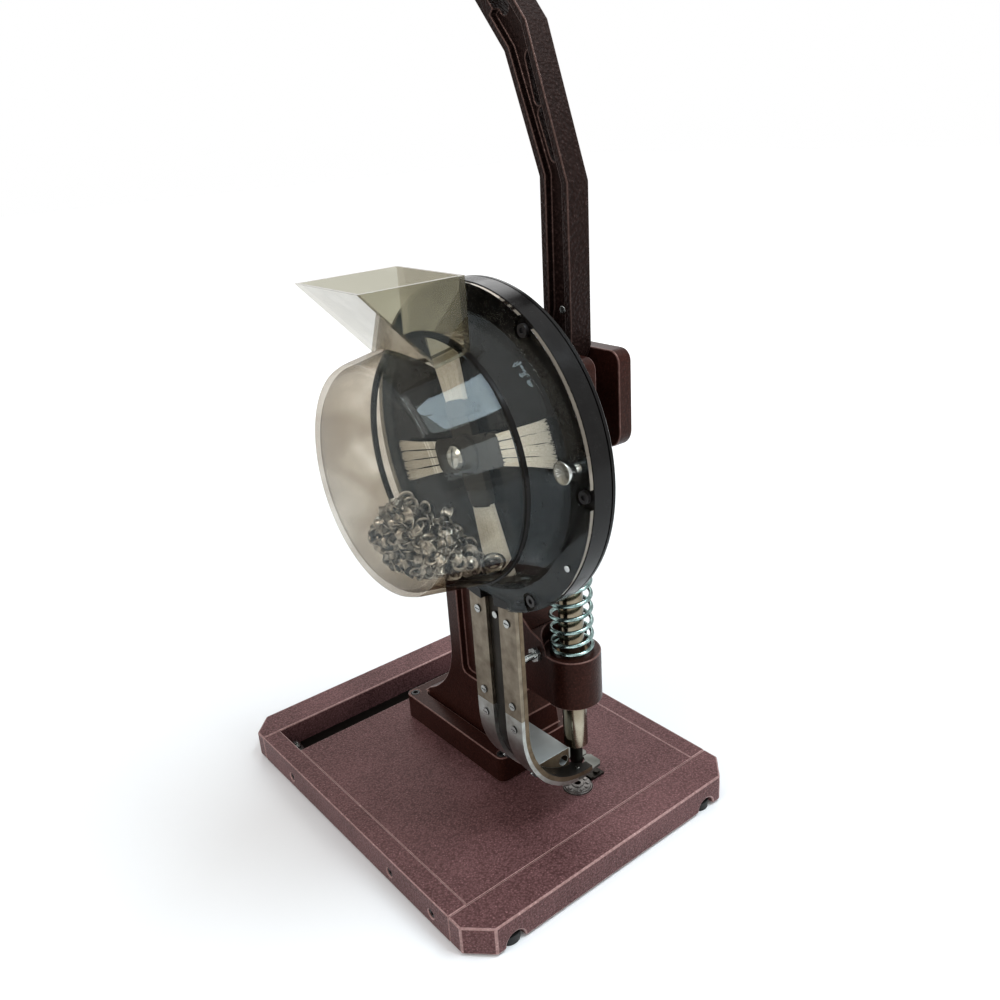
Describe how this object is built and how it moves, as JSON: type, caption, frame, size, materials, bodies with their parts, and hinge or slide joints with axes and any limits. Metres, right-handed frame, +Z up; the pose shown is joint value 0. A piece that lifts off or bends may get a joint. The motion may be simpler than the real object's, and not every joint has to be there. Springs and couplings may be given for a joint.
{
  "type": "eyelet machine",
  "caption": "Bench eyelet press with a hand lever, cam-driven ram, cast C-frame, brush-fed clear eyelet drum and curved feed track",
  "frame": {"origin": "middle of the base on the bench, at the centre of the four foot bolts", "axes": "+X to the operator's right, -Y towards the operator, +Z up"},
  "size_m": [0.2775, 0.379, 0.7362],
  "materials": {
    "dark_paint": "wrinkled",
    "zinc_plate": "satin",
    "bright_steel": "polished",
    "tool_steel": "satin",
    "black_steel": "satin",
    "black_disc": "satin",
    "bronze": "satin",
    "clear_plastic": "polished",
    "black_rubber": "matte",
    "bristle": "matte",
    "dark_plastic": "satin",
    "spring_zinc": "satin"
  },
  "bodies": {
    "frame": {"rubber_feet": "black_rubber", "front_cap": "dark_paint", "rear_cap": "dark_paint", "side_rail_left": "dark_paint", "side_rail_right": "dark_paint", "table_plate": "dark_paint", "bottom_cover": "zinc_plate", "bed_bar": "tool_steel", "cross_beams": "tool_steel", "side_screws": "black_steel", "cover_bolts": "bright_steel", "c_frame": "dark_paint", "frame_bolts": "black_steel", "guide_bush": "bronze", "cheek_bushes": "bronze", "stop_screw": "bright_steel", "lower_die": "tool_steel", "die_clamp": "black_steel", "drum_standoffs": "zinc_plate", "standoff_bolts": "black_steel", "back_disc": "black_disc", "disc_bush": "bronze", "drum_cover": "clear_plastic", "drum_seal": "black_rubber", "drum_bowl": "clear_plastic", "funnel": "clear_plastic", "cover_screws": "black_steel", "thumb_knob": "bright_steel", "track_upper": "tool_steel", "track_strips": "zinc_plate", "track_bend": "tool_steel", "bend_strips": "zinc_plate", "track_screws": "bright_steel", "track_block": "bright_steel", "track_stay": "bright_steel", "gate_pins": "bright_steel", "return_spring": "spring_zinc"},
    "ram": {"ram": "bright_steel", "spring_collar": "zinc_plate", "ram_screws": "black_steel", "upper_punch": "black_steel", "roller_pin": "tool_steel"},
    "roller": {"roller": "bright_steel"},
    "lever": {"lever_arm": "dark_paint", "lever_pins": "bright_steel", "pivot_shaft": "tool_steel", "shaft_collar": "zinc_plate", "drive_crank": "tool_steel", "crank_pin": "tool_steel", "handle_bar": "bright_steel", "handle_grip": "black_rubber"},
    "link": {"link": "tool_steel"},
    "brush_rotor": {"rotor_crank": "tool_steel", "rotor_pin": "tool_steel", "rotor_shaft": "tool_steel", "brush_hub": "dark_plastic", "brushes": "bristle", "hub_screw": "bright_steel"},
    "gate_front": {"gate_front": "tool_steel"},
    "gate_rear": {"gate_rear": "tool_steel"}
  },
  "joints": [
    {"name": "lever_pivot", "type": "hinge", "parent": "frame", "child": "lever", "pos_m": [0.025, -0.08783, 0.351], "axis": [1, 0, 0], "range_deg": [0, 80]},
    {"name": "ram_slide", "type": "slide", "parent": "frame", "child": "ram", "axis": [0, 0, -1], "range_m": [0, 0.01705], "stiffness_N_per_m": 2000, "springref_m": -0.015, "deforming": ["return_spring"]},
    {"name": "roller_spin", "type": "hinge", "parent": "ram", "child": "roller", "pos_m": [0.025, -0.1, 0.3197], "axis": [1, 0, 0], "continuous": true},
    {"name": "link_pivot", "type": "hinge", "parent": "lever", "child": "link", "pos_m": [-0.005, -0.09809, 0.37919], "axis": [1, 0, 0], "range_deg": [-81, 1]},
    {"name": "brush_swing", "type": "hinge", "parent": "frame", "child": "brush_rotor", "pos_m": [-0.035, -0.1, 0.33], "axis": [1, 0, 0], "range_deg": [-1, 81]},
    {"name": "gate_front_pivot", "type": "hinge", "parent": "frame", "child": "gate_front", "pos_m": [0.014, -0.113, 0.049], "axis": [0, 0, -1], "range_deg": [0, 20], "stiffness_Nm_per_rad": 0.05, "springref_deg": -17.19},
    {"name": "gate_rear_pivot", "type": "hinge", "parent": "frame", "child": "gate_rear", "pos_m": [0.014, -0.087, 0.049], "axis": [0, 0, 1], "range_deg": [0, 20], "stiffness_Nm_per_rad": 0.05, "springref_deg": -17.19}
  ],
  "couplings": [
    {"joint": "ram_slide", "follows": "lever_pivot", "m_per_rad": 0.012175},
    {"joint": "link_pivot", "follows": "lever_pivot", "ratio": -1},
    {"joint": "brush_swing", "follows": "lever_pivot", "ratio": 1}
  ]
}
